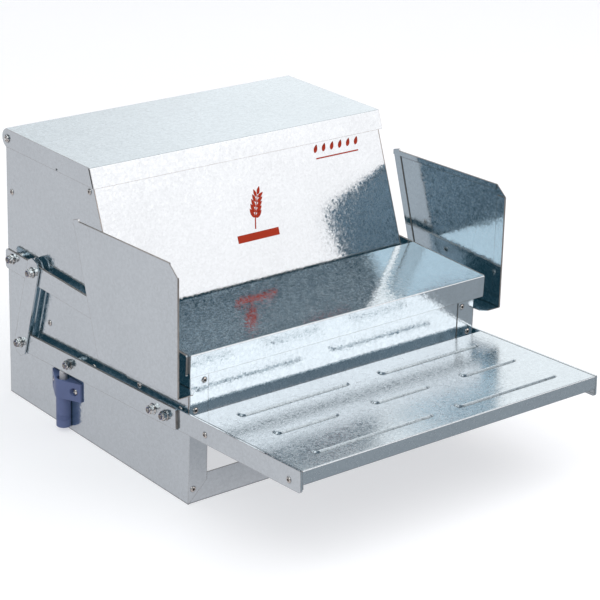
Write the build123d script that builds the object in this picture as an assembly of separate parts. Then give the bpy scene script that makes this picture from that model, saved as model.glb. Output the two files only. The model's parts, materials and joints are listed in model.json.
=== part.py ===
from build123d import *
import math
import os

# Treadle poultry feeder in galvanised sheet: hopper body, hinged top lid, trough cover on arms, treadle,
# side links and one closing damper.  Millimetres, +Z up, the front with the treadle faces -Y.

os.makedirs("parts", exist_ok=True)

# ---- driving dimensions, measured back (Y) and up (Z) from the body's front bottom edge ----
SHEET = 1.0
BEND_R = 1.3
BODY_HALF = 209.5
BODY_DEPTH = 375.0
BODY_TOP = 337.5
BACK_TOP = 333.0
TROUGH_TOP = 176.0
FRONT_FLANGE = 25.0
HOPPER_LEAN = 0.385
HOPPER_TOP_Y = 196.3
HOPPER_FOOT_Z = 150.0
TROUGH_FLOOR_Z = 92.0
FLOOR_BEND_Y = 130.0
FLOOR_REAR_Z = 151.0
SIDE_FLANGE = 14.0
FLANGE_REAR_Y = 345.0
TROUGH_LIP_Y = 12.0
TROUGH_TAB_Y = 26.0
BACK_FLANGE = 17.0
FOOT_HEIGHT = 33.0
FOOT_RETURN = 25.0

LID_HALF = 211.8
LID_TOP = 340.0
LID_SKIRT = 22.5
LID_FRONT_GAP = 5.0
LID_REAR_Y = 372.0
LID_AXIS = (368.0, 328.5)
LID_EAR = 11.5
LID_CORNER_GAP = 2.0
LID_NOTCH_Y = (259.5, 262.5)
LID_NOTCH_DEPTH = 3.0
LID_SCREW_R = 2.5
LID_SCREW_HEAD_R = 4.6
LID_SCREW_HEAD = 2.5
LID_SCREW_TIP = 203.5
LID_NUT_FLATS = 8.0
LID_NUT_HEIGHT = 4.0

GUARD_OUTER = 237.5
GUARD_OUTLINE = [(-16.5, 141.0), (-14.0, 280.0), (2.0, 292.5), (187.5, 286.0), (138.0, 134.0)]
GUARD_HEM_THICK = 1.2
GUARD_FRONT_HEM = 13.0
GUARD_TOP_HEM = 6.0
GUARD_REAR_HEM = 10.5
GUARD_LIP_DEPTH = 34.0
GUARD_LIP_REAR_Y = 125.0
GUARD_NOSE = [(217.0, -20.0), (217.0, -16.5), (205.0, -4.0), (205.0, -20.0)]

COVER_PIVOT = (351.0, 183.5)
COVER_SLOPE = 1.5
COVER_HALF = 215.5
COVER_SHEET = 1.2
COVER_RISE = 10.5
COVER_FRONT = 360.3
COVER_REAR = 231.0
COVER_FRONT_FLANGE = 27.0
COVER_SIDE_FLANGE = 22.0

ARM_INNER = 215.5
ARM_OUTER = 218.5
BAR_WIDTH = 24.7
COVER_ARM_FRONT = 356.0
COVER_ARM_TAIL = 15.0
COVER_ARM_DROP = 1.2
BAR_TAIL_R = 4.0
BAR_FRONT_R = 1.5

TREADLE_PIVOT = (227.5, 90.5)
TREADLE_SLOPE = -3.0
TREADLE_RISE = 11.5
TREADLE_SHEET = 1.2
TREADLE_HALF = 213.0
TREADLE_FRONT = 430.8
TREADLE_REAR = 239.5
TREADLE_FRONT_FLANGE = 16.0
TREADLE_SIDE_FLANGE = 21.0
TREADLE_REAR_FLANGE = 14.0
TREADLE_ARM_FRONT = 214.4
TREADLE_ARM_TAIL = 118.5
RAIL_OUTER = 215.5
RAIL_REAR = 167.4
RAIL_CORNER = 3.5
RAIL_HEIGHT = 25.0
RIB_WIDTH = 13.0
RIB_HEIGHT = 1.9
RIB_TAPER = 52.0
RIB_EDGE_R = 1.5
RIB_ROWS = [
    (271.0, [(-175.0, -20.0), (25.0, 178.0)]),
    (334.0, [(-175.0, -87.0), (-38.0, 44.0), (93.0, 178.0)]),
    (399.0, [(-175.0, -8.0), (27.0, 179.0)]),
]

LINK_TOP = (303.0, 182.0)
LINK_FOOT = (332.0, 83.0)
LINK_WIDTH = 25.0
LINK_THICK = 2.0
LINK_GAP = 0.5
LINK_END = 17.0
LINK_CHAMFER = 7.0
LINK_TOP_HOLE = 4.7

BOLT_R = 3.0
RUNNING = 0.06
NUT_FLATS = 10.0
NUT_HEIGHT = 4.6
NUT_COLLAR_R = 4.4
NUT_COLLAR = 1.6
WASHER_R = 6.0
WASHER_THICK = 1.0
WASHER_GAP = 0.2
HEAD_R = 5.2
HEAD_THICK = 2.0
SPACER_R = 6.0
CLAMP_BOLTS = [(56.5, 98.4), (32.4, 99.7)]

RIVET_HEAD_R = 3.6
RIVET_HEAD = 1.4
RIVET_SHANK_R = 1.95
RIVET_HOLE_R = 2.0
RIVET_TAIL_R = 2.7
RIVET_TAIL = 1.5
FLANGE_RIVETS = [(188.0, 99.0), (283.0, 122.0), (196.0, 311.0), (151.0, 195.0), (364.0, 262.5)]
GUARD_RIVETS = [(15.3, 111.0), (94.6, 111.0)]
TROUGH_SIDE_RIVET = (17.6, 164.5)
FRONT_RIVETS = [(190.0, 147.0), (201.3, 113.0), (203.2, 17.8)]
RAIL_RIVETS = [(265.0, -2.5), (411.5, -4.0)]
COVER_RIVETS = [(338.0, -1.0), (250.0, -1.0)]

DAMPER_AXIS = (-216.0, 244.5)
DAMPER_R = 9.0
DAMPER_COLLAR_R = 10.0
DAMPER_FOOT_Z = 5.0
DAMPER_COLLAR_Z = 44.5
DAMPER_TOP_Z = 67.5
DAMPER_BASE_HALF = 30.5
DAMPER_BASE_THICK = 2.4
DAMPER_GROOVES_Z = (15.5, 18.0, 20.5)
DAMPER_GROOVE = 0.4
DAMPER_SEAT = BODY_HALF + DAMPER_BASE_THICK + 1.0
DAMPER_MOUTH_R = 7.8
DAMPER_BORE_R = 5.1
DAMPER_SCREW_Y = 22.0
DAMPER_SCREW_Z = 56.0
DAMPER_SCREW_R = 2.0
DAMPER_SCREW_HEAD_R = 3.9
DAMPER_SCREW_HEAD = 2.2
DAMPER_SCREW_TIP = 206.0
DAMPER_RECESS_R = 4.9
DAMPER_MOUTH_DEPTH = 6.0
PLUNGER_R = 4.7
PLUNGER_TOP_Z = 76.0
PLUNGER_LENGTH = 36.0

SIDES = (("left", -1), ("right", 1))
DRILL_SPAN = (195.0, 225.0)
FRONT_DRILL = 12.0


# ---- small builders ----
def block(x_span, y_span, z_span):
    size = [high - low for low, high in (x_span, y_span, z_span)]
    middle = [(low + high) / 2 for low, high in (x_span, y_span, z_span)]
    return Pos(*middle) * Box(*size)


def side_span(side, near_x, far_x):
    """Span in X between two distances from the middle, on the given side."""
    return sorted((side * near_x, side * far_x))


def plate_yz(points, x_a, x_b):
    """Flat plate with its outline in Y and Z, between two X values."""
    outline = Plane.YZ.offset(min(x_a, x_b)) * Polygon(*points, align=None)
    return extrude(outline, amount=abs(x_b - x_a), dir=(1, 0, 0))


def plate_xz(points, y_front, y_back):
    """Flat plate with its outline in X and Z, between two Y values."""
    plane = Plane(origin=(0, y_front, 0), x_dir=(1, 0, 0), z_dir=(0, -1, 0))
    return extrude(plane * Polygon(*points, align=None), amount=y_back - y_front, dir=(0, 1, 0))


def plate_xy(points, z_low, z_high):
    """Flat plate with its outline in X and Y, between two heights."""
    outline = Plane.XY.offset(z_low) * Polygon(*points, align=None)
    return extrude(outline, amount=z_high - z_low, dir=(0, 0, 1))


def rod_x(centre, radius, x_a, x_b):
    """Cylinder along X through the point centre = (Y, Z)."""
    return Pos((x_a + x_b) / 2, *centre) * Rot(0, 90, 0) * Cylinder(radius, abs(x_b - x_a))


def strip(start, end, thick):
    """Four corners of a strip on the left-hand side of the line from start to end."""
    run = math.dist(start, end)
    step_y = -(end[1] - start[1]) / run * thick
    step_z = (end[0] - start[0]) / run * thick
    return [start, end, (end[0] + step_y, end[1] + step_z), (start[0] + step_y, start[1] + step_z)]


def join(parts):
    whole = parts[0]
    for part in parts[1:]:
        whole = whole + part
    return whole


def round_bends(part, chosen, radius=BEND_R):
    """Round the long edges whose middle the function chosen accepts, as a folded sheet is."""
    return fillet(part.edges().filter_by(lambda edge: edge.length > 40 and chosen(edge.center())), radius)


def near(value, target):
    return abs(value - target) < 0.05


def outer_edge(side):
    """Chooses the fold between a side panel's web and its front flange."""
    return lambda middle: near(middle.X, side * BODY_HALF) and near(middle.Y, 0)


def hopper_y(z):
    """Front face of the leaning hopper panel at height z."""
    return HOPPER_TOP_Y - HOPPER_LEAN * (BODY_TOP - z)


def on_cover(part):
    """Place a piece drawn flat around the cover pivot."""
    return Pos(0, *COVER_PIVOT) * Rot(COVER_SLOPE, 0, 0) * part


def on_treadle(part):
    """Place a piece drawn flat around the treadle pivot."""
    return Pos(0, *TREADLE_PIVOT) * Rot(TREADLE_SLOPE, 0, 0) * part


# ---- rivets, bolts and nuts ----
def rivet(surface, grip):
    """Domed rivet along +Z: head on z = surface, shank down through grip, tail below."""
    head = Pos(0, 0, surface + RIVET_HEAD / 2) * Cylinder(RIVET_HEAD_R, RIVET_HEAD)
    head = fillet(head.edges().group_by(Axis.Z)[-1], RIVET_HEAD * 0.8)
    shank = Pos(0, 0, surface - grip / 2) * Cylinder(RIVET_SHANK_R, grip)
    tail = Pos(0, 0, surface - grip - RIVET_TAIL / 2) * Cylinder(RIVET_TAIL_R, RIVET_TAIL)
    return head + shank + tail


def side_rivet(side, centre, surface, grip):
    """Rivet with its head on the outside of a wall on the given side."""
    turn = Rot(0, 90 * side, 0)
    return Pos(0, *centre) * turn * rivet(surface, grip)


def drill_side(part, centres, radius, side):
    for centre in centres:
        part = part - rod_x(centre, radius, side * DRILL_SPAN[0], side * DRILL_SPAN[1])
    return part


def lock_nut(start, tip):
    """Hexagonal lock nut with a round collar, along +Z, bored for its bolt."""
    hexagon = extrude(RegularPolygon(NUT_FLATS / 2, 6, major_radius=False), amount=NUT_HEIGHT)
    collar = Pos(0, 0, NUT_HEIGHT + NUT_COLLAR / 2) * Cylinder(NUT_COLLAR_R, NUT_COLLAR)
    nut = Pos(0, 0, start) * (hexagon + collar)
    return nut - Pos(0, 0, tip / 2) * Cylinder(BOLT_R, tip)


def washer(start):
    ring = Cylinder(WASHER_R, WASHER_THICK) - Cylinder(BOLT_R, WASHER_THICK)
    return Pos(0, 0, start + WASHER_THICK / 2) * ring


def bolt(head_face, tip):
    """Low domed bolt head below head_face and shank up to the tip, along +Z."""
    head = Pos(0, 0, head_face - HEAD_THICK / 2) * Cylinder(HEAD_R, HEAD_THICK)
    head = fillet(head.edges().group_by(Axis.Z)[0], HEAD_THICK * 0.6)
    return head + Pos(0, 0, (head_face + tip) / 2) * Cylinder(BOLT_R, tip - head_face)


def at_side(side, centre, part):
    """Turn a piece drawn along +Z so that it points outwards from the given side at centre = (Y, Z)."""
    return Pos(0, *centre) * Rot(0, 90 * side, 0) * part


def fastener(side, centre, head_face, washer_face):
    """Bolt and lock nut with a washer, as three separate pieces."""
    nut_face = washer_face + WASHER_THICK
    tip = nut_face + NUT_HEIGHT + NUT_COLLAR + 1.0
    pieces = (bolt(head_face, tip), washer(washer_face), lock_nut(nut_face, tip))
    return [at_side(side, centre, piece) for piece in pieces]


# ---- fixed body ----
def side_panel(side):
    outer = side * BODY_HALF
    inner = side * (BODY_HALF - SHEET)
    outline = [
        (0, 0),
        (BODY_DEPTH, 0),
        (BODY_DEPTH, BACK_TOP),
        (LID_AXIS[0], BODY_TOP),
        (HOPPER_TOP_Y, BODY_TOP),
        (hopper_y(TROUGH_TOP), TROUGH_TOP),
        (0, TROUGH_TOP),
    ]
    web = plate_yz(outline, inner, outer)
    edge = side * (BODY_HALF - FRONT_FLANGE)
    flange = plate_xz([(outer, 0), (outer, TROUGH_TOP), (edge, TROUGH_TOP), (edge, FRONT_FLANGE)], 0, SHEET)
    panel = round_bends(web + flange, outer_edge(side))
    panel = drill_side(panel, FLANGE_RIVETS + GUARD_RIVETS + [TROUGH_SIDE_RIVET], RIVET_HOLE_R, side)
    panel = drill_side(panel, [COVER_PIVOT, TREADLE_PIVOT], BOLT_R, side)
    panel = drill_side(panel, [LID_AXIS], LID_SCREW_R, side)
    if side < 0:
        panel = drill_side(panel, damper_screw_centres(), DAMPER_SCREW_R, side)
    return drill_front(panel)


def drill_front(part):
    for x, z in FRONT_RIVETS:
        for sign in (-1, 1):
            hole = Pos(sign * x, 0, z) * Rot(90, 0, 0) * Cylinder(RIVET_HOLE_R, FRONT_DRILL)
            part = part - hole
    return part


def trough_front_panel():
    half = BODY_HALF - SHEET
    wall = block((-half, half), (SHEET, 2 * SHEET), (TROUGH_FLOOR_Z - SHEET, TROUGH_TOP))
    lip = block((-half, half), (2 * SHEET, TROUGH_LIP_Y), (TROUGH_TOP - SHEET, TROUGH_TOP))
    tab_depth = (2 * SHEET, TROUGH_TAB_Y)
    tab_height = (TROUGH_FLOOR_Z, TROUGH_TOP - SHEET)
    tabs = [block(side_span(side, half - SHEET, half), tab_depth, tab_height) for _, side in SIDES]
    panel = join([wall, lip] + tabs)
    for _, side in SIDES:
        panel = drill_side(panel, [TROUGH_SIDE_RIVET, GUARD_RIVETS[0]], RIVET_HOLE_R, side)
    return drill_front(panel)


def hopper_front_panel():
    """Leaning front wall of the hopper, open below for the feed, with flanges on the side panels."""
    half = BODY_HALF - SHEET
    foot = (hopper_y(HOPPER_FOOT_Z), HOPPER_FOOT_Z)
    top = (HOPPER_TOP_Y, BODY_TOP)
    wall = plate_yz(strip(top, foot, SHEET), -half, half)
    fold = strip(top, foot, SIDE_FLANGE)
    flanges = [plate_yz(fold, side * (half - SHEET), side * half) for _, side in SIDES]
    panel = join([wall] + flanges)
    for _, side in SIDES:
        panel = drill_side(panel, FLANGE_RIVETS[2:4], RIVET_HOLE_R, side)
    return panel


def floor_z(y):
    """Height of the sloping hopper floor at the distance y behind the front."""
    rear_y = BODY_DEPTH - SHEET
    return TROUGH_FLOOR_Z + (FLOOR_REAR_Z - TROUGH_FLOOR_Z) * (y - FLOOR_BEND_Y) / (rear_y - FLOOR_BEND_Y)


def hopper_floor():
    """Trough floor that bends up into the sloping hopper floor, with side flanges turned down."""
    half = BODY_HALF - SHEET
    start = (2 * SHEET, TROUGH_FLOOR_Z)
    bend = (FLOOR_BEND_Y, TROUGH_FLOOR_Z)
    end = (BODY_DEPTH - SHEET - 0.3, FLOOR_REAR_Z)
    flat = plate_yz(strip(bend, start, SHEET), -half, half)
    ramp = plate_yz(strip(end, bend, SHEET), -half, half)
    filler = Pos(0, *bend) * Rot(0, 90, 0) * Cylinder(SHEET, 2 * half)
    filler = filler - plate_yz([start, bend, end, (end[0], TROUGH_TOP), (0, TROUGH_TOP)], -half, half)
    fold = strip((FLANGE_REAR_Y, floor_z(FLANGE_REAR_Y)), bend, SIDE_FLANGE)
    flanges = [plate_yz(fold, side * (half - SHEET), side * half) for _, side in SIDES]
    floor = join([flat, ramp, filler] + flanges)
    for _, side in SIDES:
        floor = drill_side(floor, FLANGE_RIVETS[0:2], RIVET_HOLE_R, side)
    return floor


def back_panel():
    half = BODY_HALF - SHEET
    wall = block((-half, half), (BODY_DEPTH - SHEET, BODY_DEPTH), (0, BACK_TOP))
    foot = block((-half, half), (BODY_DEPTH - FOOT_RETURN, BODY_DEPTH - SHEET), (0, SHEET))
    depth = (BODY_DEPTH - BACK_FLANGE, BODY_DEPTH - SHEET)
    height = (FLOOR_REAR_Z + 2 * SHEET, LID_AXIS[1] - LID_EAR)
    flanges = [block(side_span(side, half - SHEET, half), depth, height) for _, side in SIDES]
    panel = join([wall, foot] + flanges)
    for _, side in SIDES:
        panel = drill_side(panel, FLANGE_RIVETS[4:5], RIVET_HOLE_R, side)
    return panel


def front_foot_strip():
    half = BODY_HALF - SHEET
    wall = block((-half, half), (SHEET, 2 * SHEET), (0, FOOT_HEIGHT))
    foot = block((-half, half), (2 * SHEET, FOOT_RETURN), (0, SHEET))
    return drill_front(wall + foot)


def guard_fold(outer, front_z):
    """Chooses the fold between a guard's web and its bottom flange."""
    return lambda middle: near(middle.X, outer) and middle.Z < front_z and middle.Y < BODY_DEPTH / 4


def side_guard(side):
    """Folded guard plate that stands beside the cover's path, carried on its bottom flange and lip."""
    outer = side * GUARD_OUTER
    corners = GUARD_OUTLINE
    web = plate_yz(corners, outer - side * SHEET, outer)
    pieces = [web]
    for index, width in ((0, GUARD_FRONT_HEM), (2, GUARD_TOP_HEM), (3, GUARD_REAR_HEM)):
        fold = strip(corners[index + 1], corners[index], width)
        pieces.append(plate_yz(fold, outer, outer - side * (SHEET + GUARD_HEM_THICK)))
    front, rear = corners[0], corners[4]
    pieces.append(plate_yz(strip(front, rear, SHEET), outer, side * (BODY_HALF + SHEET)))
    lip_top = front[1] + (rear[1] - front[1]) * (0 - front[0]) / (rear[0] - front[0]) + 0.3
    lip = [
        (1.0, lip_top),
        (rear[0] - 4, rear[1] + 0.5),
        (GUARD_LIP_REAR_Y, rear[1] - 12),
        (GUARD_LIP_REAR_Y - 8, lip_top - GUARD_LIP_DEPTH),
        (6.0, lip_top - GUARD_LIP_DEPTH),
        (1.0, lip_top - GUARD_LIP_DEPTH + 5),
    ]
    pieces.append(plate_yz(lip, side * BODY_HALF, side * (BODY_HALF + SHEET)))
    guard = round_bends(join(pieces), guard_fold(outer, front[1]))
    nose = [(side * x, y) for x, y in GUARD_NOSE]
    guard = guard - plate_xy(nose, front[1] - GUARD_TOP_HEM, front[1] + GUARD_TOP_HEM)
    return drill_side(guard, GUARD_RIVETS, RIVET_HOLE_R, side)


def body_rivets(side):
    panel_rivets = FLANGE_RIVETS + [TROUGH_SIDE_RIVET]
    rivets = [side_rivet(side, centre, BODY_HALF, 2 * SHEET) for centre in panel_rivets]
    rivets.append(side_rivet(side, GUARD_RIVETS[0], BODY_HALF + SHEET, 3 * SHEET))
    rivets.append(side_rivet(side, GUARD_RIVETS[1], BODY_HALF + SHEET, 2 * SHEET))
    return rivets


def front_rivets():
    return [
        Pos(sign * x, 0, z) * Rot(90, 0, 0) * rivet(0, 2 * SHEET)
        for x, z in FRONT_RIVETS
        for sign in (-1, 1)
    ]


def pivot_spacer(side, centre):
    length = ARM_INNER - WASHER_GAP - BODY_HALF
    ring = Cylinder(SPACER_R, length) - Cylinder(BOLT_R, length)
    middle = BODY_HALF + length / 2
    return at_side(side, centre, Pos(0, 0, middle) * ring)


# ---- top lid ----
def top_lid():
    low = LID_TOP - LID_SKIRT
    front_top = (hopper_y(LID_TOP) - LID_FRONT_GAP, LID_TOP)
    top = block((-LID_HALF, LID_HALF), (front_top[0], LID_REAR_Y), (LID_TOP - SHEET, LID_TOP))
    front_low = (hopper_y(low) - LID_FRONT_GAP, low)
    front = plate_yz(strip(front_top, front_low, SHEET), -LID_HALF, LID_HALF)
    pieces = [top, front]
    skirt_step = SHEET + LID_CORNER_GAP
    skirt_front = [(front_top[0] + skirt_step, LID_TOP - SHEET), (front_low[0] + skirt_step, low)]
    skirt_outline = skirt_front + [(LID_AXIS[0], low), (LID_AXIS[0], LID_TOP - SHEET)]
    for _, side in SIDES:
        outer = side * LID_HALF
        inner = side * (LID_HALF - SHEET)
        pieces.append(plate_yz(skirt_outline, inner, outer))
        pieces.append(rod_x(LID_AXIS, LID_EAR, inner, outer))
    lid = round_bends(join(pieces), lambda middle: near(middle.Z, LID_TOP) and middle.Y < hopper_y(LID_TOP))
    for _, side in SIDES:
        lid = drill_side(lid, [LID_AXIS], LID_SCREW_R + RUNNING, side)
        lid = lid - block(side_span(side, *DRILL_SPAN), LID_NOTCH_Y, (low - 1, low + LID_NOTCH_DEPTH))
    return lid


def lid_hinge_screws():
    """Two screws, each with a pan head outside the lid's ear and a nut inside the side panel."""
    face = LID_HALF + RUNNING
    head = Pos(0, 0, face + LID_SCREW_HEAD / 2) * Cylinder(LID_SCREW_HEAD_R, LID_SCREW_HEAD)
    head = fillet(head.edges().group_by(Axis.Z)[-1], LID_SCREW_HEAD * 0.64)
    shank = Pos(0, 0, (face + LID_SCREW_TIP) / 2) * Cylinder(LID_SCREW_R, face - LID_SCREW_TIP)
    nut = extrude(RegularPolygon(LID_NUT_FLATS / 2, 6, major_radius=False), amount=LID_NUT_HEIGHT)
    nut = Pos(0, 0, BODY_HALF - SHEET - LID_NUT_HEIGHT) * nut
    return [at_side(side, LID_AXIS, head + shank + nut) for _, side in SIDES]


# ---- trough cover and its arms ----
def trough_cover():
    top_z = (COVER_RISE - COVER_SHEET, COVER_RISE)
    depth = (-COVER_FRONT, -COVER_REAR)
    top = block((-COVER_HALF, COVER_HALF), depth, top_z)
    face = (-COVER_FRONT, -COVER_FRONT + COVER_SHEET)
    front = block((-COVER_HALF, COVER_HALF), face, (COVER_RISE - COVER_FRONT_FLANGE, COVER_RISE))
    pieces = [top, front]
    for _, side in SIDES:
        span = side_span(side, COVER_HALF - SHEET, COVER_HALF)
        pieces.append(block(span, depth, (COVER_RISE - COVER_SIDE_FLANGE, COVER_RISE)))
    rear_y = -COVER_REAR - SHEET
    cover = round_bends(join(pieces), lambda middle: near(middle.Z, COVER_RISE) and middle.Y < rear_y)
    for _, side in SIDES:
        holes = [(-back, height) for back, height in COVER_RIVETS]
        cover = drill_side(cover, holes, RIVET_HOLE_R, side)
    return on_cover(cover)


def flat_bar(side, front, tail, rise, inner, outer):
    """Flat bar along Y with rounded tail corners, drawn around its pivot."""
    profile = Pos((tail - front) / 2, rise - BAR_WIDTH / 2) * Rectangle(front + tail, BAR_WIDTH)
    profile = fillet(profile.vertices().group_by(Axis.X)[-1], BAR_TAIL_R)
    profile = fillet(profile.vertices().group_by(Axis.X)[0], BAR_FRONT_R)
    return extrude(Plane.YZ.offset(min(side * inner, side * outer)) * profile, outer - inner, dir=(1, 0, 0))


def cover_arm(side):
    rise = COVER_RISE - COVER_ARM_DROP
    bar = flat_bar(side, COVER_ARM_FRONT, COVER_ARM_TAIL, rise, ARM_INNER, ARM_OUTER)
    holes = [(-back, height) for back, height in COVER_RIVETS]
    bar = on_cover(drill_side(bar, holes, RIVET_HOLE_R, side))
    bar = drill_side(bar, [COVER_PIVOT], BOLT_R + RUNNING, side)
    return drill_side(bar, [LINK_TOP], BOLT_R, side)


def cover_rivets(side):
    return [
        on_cover(side_rivet(side, (-back, height), ARM_OUTER, ARM_OUTER - ARM_INNER + SHEET))
        for back, height in COVER_RIVETS
    ]


# ---- treadle ----
def rib(x_a, x_b, back):
    """Raised stiffening rib across the platform, rounded at both ends."""
    outline = Pos((x_a + x_b) / 2, -back) * SlotOverall(abs(x_b - x_a), RIB_WIDTH)
    ridge = extrude(Plane.XY.offset(TREADLE_RISE) * outline, RIB_HEIGHT, taper=RIB_TAPER)
    return fillet(ridge.edges().group_by(Axis.Z)[-1], RIB_EDGE_R)


def treadle_platform():
    depth = (-TREADLE_FRONT, -TREADLE_REAR)
    top = block((-TREADLE_HALF, TREADLE_HALF), depth, (TREADLE_RISE - TREADLE_SHEET, TREADLE_RISE))
    pieces = [top]
    front_face = (-TREADLE_FRONT, -TREADLE_FRONT + TREADLE_SHEET)
    rear_face = (-TREADLE_REAR - TREADLE_SHEET, -TREADLE_REAR)
    for face, drop in ((front_face, TREADLE_FRONT_FLANGE), (rear_face, TREADLE_REAR_FLANGE)):
        pieces.append(block((-TREADLE_HALF, TREADLE_HALF), face, (TREADLE_RISE - drop, TREADLE_RISE)))
    for _, side in SIDES:
        span = side_span(side, TREADLE_HALF - TREADLE_SHEET, TREADLE_HALF)
        pieces.append(block(span, depth, (TREADLE_RISE - TREADLE_SIDE_FLANGE, TREADLE_RISE)))
    platform = round_bends(join(pieces), lambda middle: near(middle.Z, TREADLE_RISE))
    platform = join([platform] + [rib(x_a, x_b, back) for back, spans in RIB_ROWS for x_a, x_b in spans])
    for _, side in SIDES:
        holes = [(-back, height) for back, height in RAIL_RIVETS]
        platform = drill_side(platform, holes, RIVET_HOLE_R, side)
    return on_treadle(platform)


def treadle_rail(side):
    """Flat side rail outside the platform, rounded at its front bottom corner."""
    length = TREADLE_FRONT - RAIL_REAR
    middle = (-(TREADLE_FRONT + RAIL_REAR) / 2, TREADLE_RISE - RAIL_HEIGHT / 2)
    profile = Pos(*middle) * Rectangle(length, RAIL_HEIGHT)
    corner = profile.vertices().group_by(Axis.X)[0].sort_by(Axis.Y)[0]
    profile = fillet(corner, RAIL_CORNER)
    low = min(side * TREADLE_HALF, side * RAIL_OUTER)
    rail = extrude(Plane.YZ.offset(low) * profile, RAIL_OUTER - TREADLE_HALF, dir=(1, 0, 0))
    holes = [(-back, height) for back, height in RAIL_RIVETS]
    rail = on_treadle(drill_side(rail, holes, RIVET_HOLE_R, side))
    return drill_side(rail, CLAMP_BOLTS, BOLT_R, side)


def treadle_arm(side):
    bar = flat_bar(side, TREADLE_ARM_FRONT, TREADLE_ARM_TAIL, TREADLE_RISE, ARM_INNER, ARM_OUTER)
    bar = drill_side(on_treadle(bar), [TREADLE_PIVOT], BOLT_R + RUNNING, side)
    return drill_side(bar, [LINK_FOOT] + CLAMP_BOLTS, BOLT_R, side)


def rail_rivets(side):
    return [
        on_treadle(side_rivet(side, (-back, height), RAIL_OUTER, RAIL_OUTER - TREADLE_HALF + TREADLE_SHEET))
        for back, height in RAIL_RIVETS
    ]


# ---- links ----
def link(side, inner):
    """Flat link between treadle arm and cover arm; its top hole is loose around the bolt."""
    length = math.dist(LINK_TOP, LINK_FOOT)
    lean = math.degrees(math.atan2(LINK_FOOT[0] - LINK_TOP[0], LINK_TOP[1] - LINK_FOOT[1]))
    profile = Pos(0, length / 2) * Rectangle(LINK_WIDTH, length + 2 * LINK_END)
    profile = chamfer(profile.vertices(), LINK_CHAMFER)
    low = side_span(side, inner, inner + LINK_THICK)[0]
    plate = extrude(Plane.YZ.offset(low) * profile, LINK_THICK, dir=(1, 0, 0))
    plate = Pos(0, *LINK_FOOT) * Rot(lean, 0, 0) * plate
    plate = drill_side(plate, [LINK_FOOT], BOLT_R + RUNNING, side)
    return drill_side(plate, [LINK_TOP], LINK_TOP_HOLE, side)


# ---- closing damper on the left side ----
def damper_screw_centres():
    return [(DAMPER_AXIS[1] + offset, DAMPER_SCREW_Z) for offset in (-DAMPER_SCREW_Y, DAMPER_SCREW_Y)]


def damper_outline():
    """Plan of the collar: a circle drawn out to a wide base on the side panel."""
    axis_x, axis_y = DAMPER_AXIS
    base_x = -BODY_HALF - DAMPER_BASE_THICK
    ends = [(base_x, axis_y - DAMPER_BASE_HALF), (base_x, axis_y + DAMPER_BASE_HALF)]
    reach = math.dist((axis_x, axis_y), ends[0])
    turn = math.acos(DAMPER_COLLAR_R / reach)
    towards = math.atan2(ends[0][1] - axis_y, ends[0][0] - axis_x)
    contact = towards - turn
    touch = (axis_x + DAMPER_COLLAR_R * math.cos(contact), axis_y + DAMPER_COLLAR_R * math.sin(contact))
    mirrored = (touch[0], 2 * axis_y - touch[1])
    wall = [(-BODY_HALF, ends[1][1]), (-BODY_HALF, ends[0][1])]
    return [ends[0], touch, mirrored, ends[1]] + wall


def damper_housing():
    axis_x, axis_y = DAMPER_AXIS
    height = DAMPER_TOP_Z - DAMPER_FOOT_Z
    tube = Pos(axis_x, axis_y, DAMPER_FOOT_Z + height / 2) * Cylinder(DAMPER_R, height)
    tube = fillet(tube.edges().group_by(Axis.Z)[0], SHEET)
    for z in DAMPER_GROOVES_Z:
        groove = Cylinder(DAMPER_R + SHEET, 2 * DAMPER_GROOVE) - Cylinder(DAMPER_R - DAMPER_GROOVE, SHEET)
        tube = tube - Pos(axis_x, axis_y, z) * groove
    rim_z = (DAMPER_COLLAR_Z + DAMPER_TOP_Z) / 2
    rim = Pos(axis_x, axis_y, rim_z) * Cylinder(DAMPER_COLLAR_R, DAMPER_TOP_Z - DAMPER_COLLAR_Z)
    collar = plate_xy(damper_outline(), DAMPER_COLLAR_Z, DAMPER_TOP_Z)
    behind_panel = (-BODY_HALF, -BODY_HALF + 2 * DAMPER_COLLAR_R)
    across = (axis_y - DAMPER_BASE_HALF, axis_y + DAMPER_BASE_HALF)
    housing = tube + rim + collar - block(behind_panel, across, (0, DAMPER_TOP_Z + SHEET))
    mouth_z = DAMPER_TOP_Z - DAMPER_MOUTH_DEPTH / 2
    mouth = Pos(axis_x, axis_y, mouth_z) * Cylinder(DAMPER_MOUTH_R, DAMPER_MOUTH_DEPTH)
    low = PLUNGER_TOP_Z - PLUNGER_LENGTH - DAMPER_SCREW_R
    bore = Pos(axis_x, axis_y, (low + DAMPER_TOP_Z) / 2) * Cylinder(DAMPER_BORE_R, DAMPER_TOP_Z - low)
    housing = housing - mouth - bore
    outside = axis_x - 2 * DAMPER_R
    for centre in damper_screw_centres():
        housing = housing - rod_x(centre, DAMPER_RECESS_R, -DAMPER_SEAT, outside)
        housing = housing - rod_x(centre, DAMPER_SCREW_R, -BODY_HALF, outside)
    return housing


def damper_screws():
    head = Pos(0, 0, DAMPER_SEAT + DAMPER_SCREW_HEAD / 2) * Cylinder(DAMPER_SCREW_HEAD_R, DAMPER_SCREW_HEAD)
    head = fillet(head.edges().group_by(Axis.Z)[-1], DAMPER_SCREW_HEAD * 0.64)
    shank = Pos(0, 0, (DAMPER_SEAT + DAMPER_SCREW_TIP) / 2)
    shank = shank * Cylinder(DAMPER_SCREW_R, DAMPER_SEAT - DAMPER_SCREW_TIP)
    return [at_side(-1, centre, head + shank) for centre in damper_screw_centres()]


def damper_plunger():
    centre_z = PLUNGER_TOP_Z - PLUNGER_LENGTH / 2
    plunger = Pos(*DAMPER_AXIS, centre_z) * Cylinder(PLUNGER_R, PLUNGER_LENGTH)
    return fillet(plunger.edges().group_by(Axis.Z)[-1], 1.8)


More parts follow.
